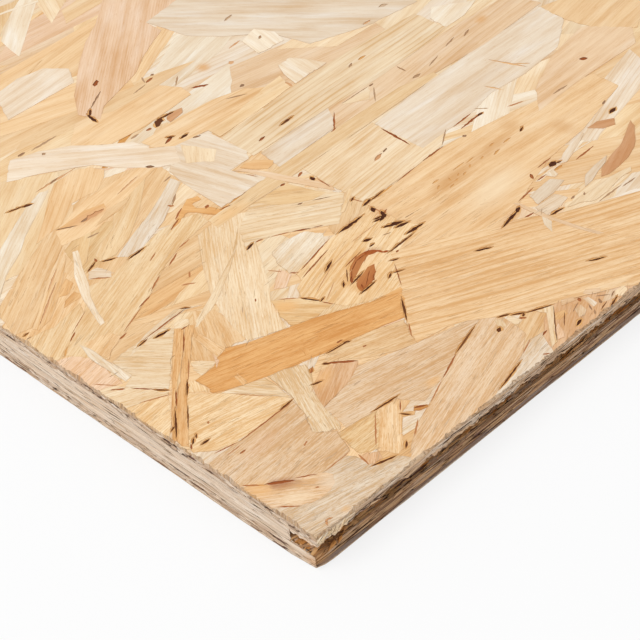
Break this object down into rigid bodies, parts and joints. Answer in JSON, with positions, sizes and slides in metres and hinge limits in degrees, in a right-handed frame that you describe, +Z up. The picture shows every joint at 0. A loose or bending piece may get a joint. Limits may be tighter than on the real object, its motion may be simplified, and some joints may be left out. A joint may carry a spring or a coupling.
{
  "type": "tongue and groove osb panel",
  "caption": "Flat board of pressed and glued wood strands with a groove along one long edge and a matching tongue along the other, for floors, walls and roofs.",
  "frame": {"origin": "middle of the underside", "axes": "+X along the long edges, +Y from the grooved edge to the tongued edge, +Z up through the thickness to the better face"},
  "size_m": [2.44, 0.6, 0.018],
  "materials": {
    "osb": "pressed pale wood strands, matt to slightly satin, with rough sawn edges"
  },
  "bodies": {
    "root": {"osb_panel": "osb"}
  },
  "joints": []
}
